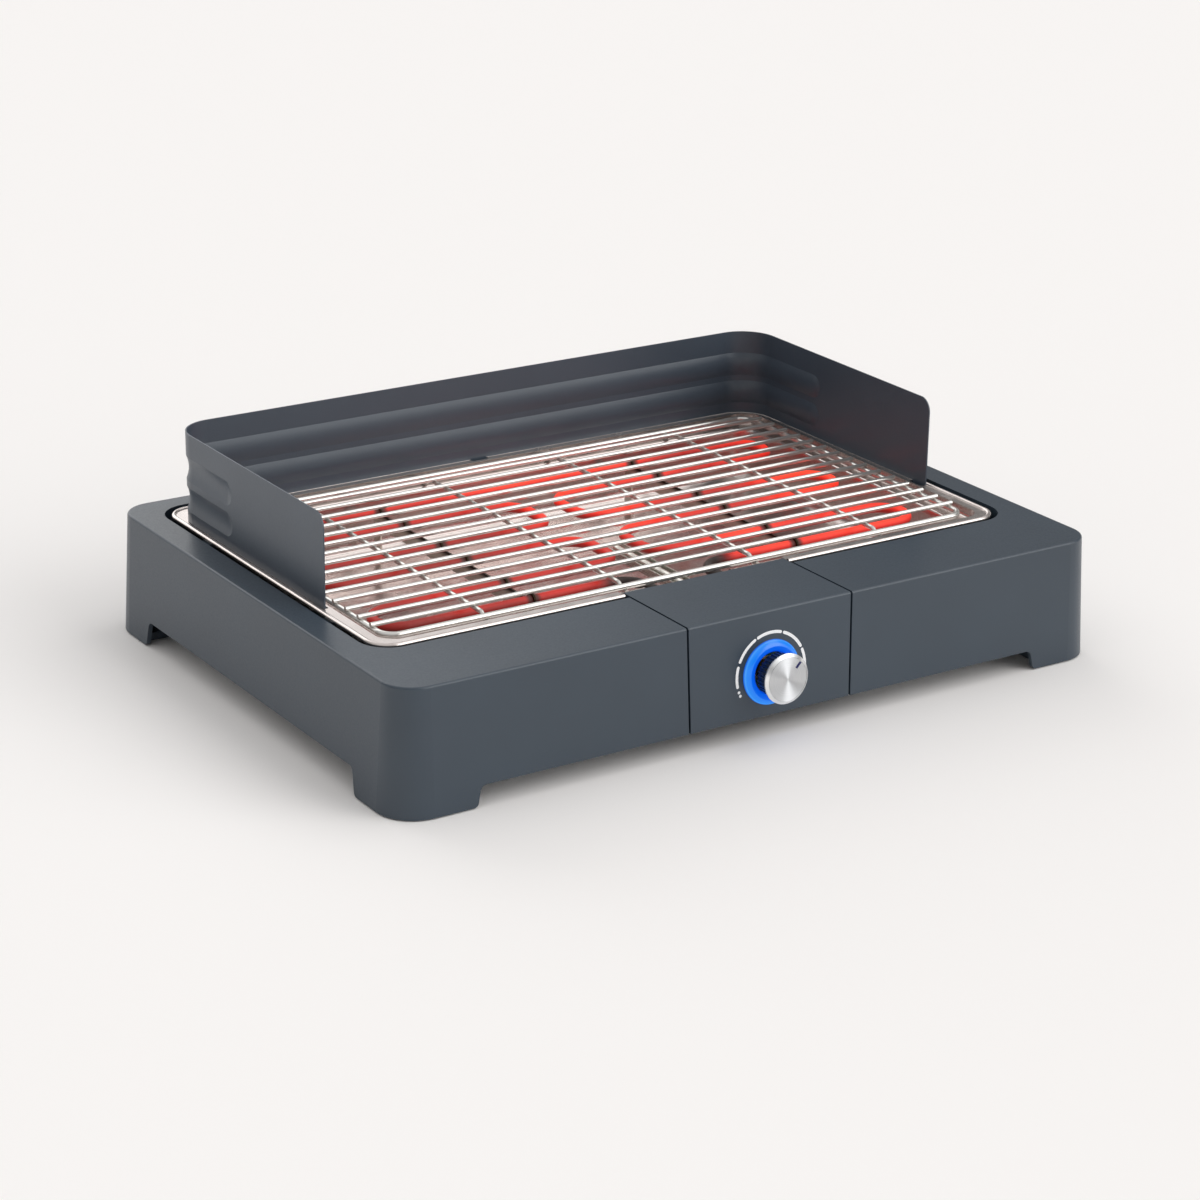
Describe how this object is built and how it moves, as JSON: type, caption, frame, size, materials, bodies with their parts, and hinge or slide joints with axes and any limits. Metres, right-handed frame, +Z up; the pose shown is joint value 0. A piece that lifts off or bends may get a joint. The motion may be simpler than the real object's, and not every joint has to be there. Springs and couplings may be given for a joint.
{
  "type": "electric table grill",
  "caption": "Electric table grill: drafted housing on feet with a lift-out drip tray, knob-controlled heating element unit, wire grate and three-sided wind shield.",
  "frame": {"origin": "on the floor, under the middle of the whole grill with its knob", "axes": "+X to the right seen from the knob's side, +Y to the back, +Z up"},
  "size_m": [0.5082, 0.3862, 0.1368],
  "materials": {
    "housing_plastic": "matte",
    "case_plastic": "matte",
    "zinc_steel": "satin",
    "screw_steel": "satin",
    "foot_rubber": "matte",
    "tray_steel": "polished",
    "hot_sheath": "satin",
    "heat_stained_steel": "satin",
    "sensor_steel": "satin",
    "capillary_copper": "satin",
    "bush_steel": "satin",
    "white_ceramic": "satin",
    "terminal_steel": "satin",
    "thermostat_plastic": "satin",
    "nut_brass": "satin",
    "blue_light_guide": "gloss",
    "board_laminate": "satin",
    "wire_sleeve": "matte",
    "knob_plastic": "satin",
    "spun_aluminium": "satin",
    "pointer_blue": "gloss",
    "chromed_wire": "polished",
    "shield_paint": "satin"
  },
  "bodies": {
    "housing": {"housing_shell": "housing_plastic", "base_plate": "zinc_steel", "base_screws": "screw_steel", "foot_pads": "foot_rubber"},
    "tray": {"drip_tray": "tray_steel"},
    "control_unit": {"control_cover": "housing_plastic", "control_base": "case_plastic", "control_screws": "screw_steel", "element_flange": "zinc_steel", "flange_screws": "screw_steel", "leg_bushes": "bush_steel", "heating_element": "hot_sheath", "terminal_insulators": "white_ceramic", "terminal_pins": "terminal_steel", "element_supports": "heat_stained_steel", "sensor_guard": "sensor_steel", "sensor_tube": "sensor_steel", "capillary_tube": "capillary_copper", "thermostat": "thermostat_plastic", "thermostat_bracket": "zinc_steel", "bracket_screws": "screw_steel", "thermostat_nut": "nut_brass", "light_ring": "blue_light_guide", "light_board": "board_laminate", "terminal_block": "white_ceramic", "lead_wires": "wire_sleeve", "cord_gland": "foot_rubber"},
    "knob": {"knob_body": "knob_plastic", "knob_cap": "spun_aluminium", "knob_pointer": "pointer_blue", "thermostat_shaft": "terminal_steel"},
    "grate": {"grate_frame": "chromed_wire", "grate_bars": "chromed_wire", "grate_cross_wires": "chromed_wire"},
    "wind_shield": {"wind_shield": "shield_paint"}
  },
  "joints": [
    {"name": "tray_lift", "type": "slide", "parent": "housing", "child": "tray", "axis": [0, 0, 1], "range_m": [0, 0.06]},
    {"name": "unit_lift", "type": "slide", "parent": "tray", "child": "control_unit", "axis": [0, 0, 1], "range_m": [0, 0.08]},
    {"name": "grate_lift", "type": "slide", "parent": "control_unit", "child": "grate", "axis": [0, 0, 1], "range_m": [0, 0.08]},
    {"name": "shield_lift", "type": "slide", "parent": "tray", "child": "wind_shield", "axis": [0, 0, 1], "range_m": [0, 0.08]},
    {"name": "knob_turn", "type": "hinge", "parent": "control_unit", "child": "knob", "pos_m": [0, -0.17545, 0.04025], "axis": [0, 0.9986, -0.0523], "range_deg": [-158, 59]}
  ]
}
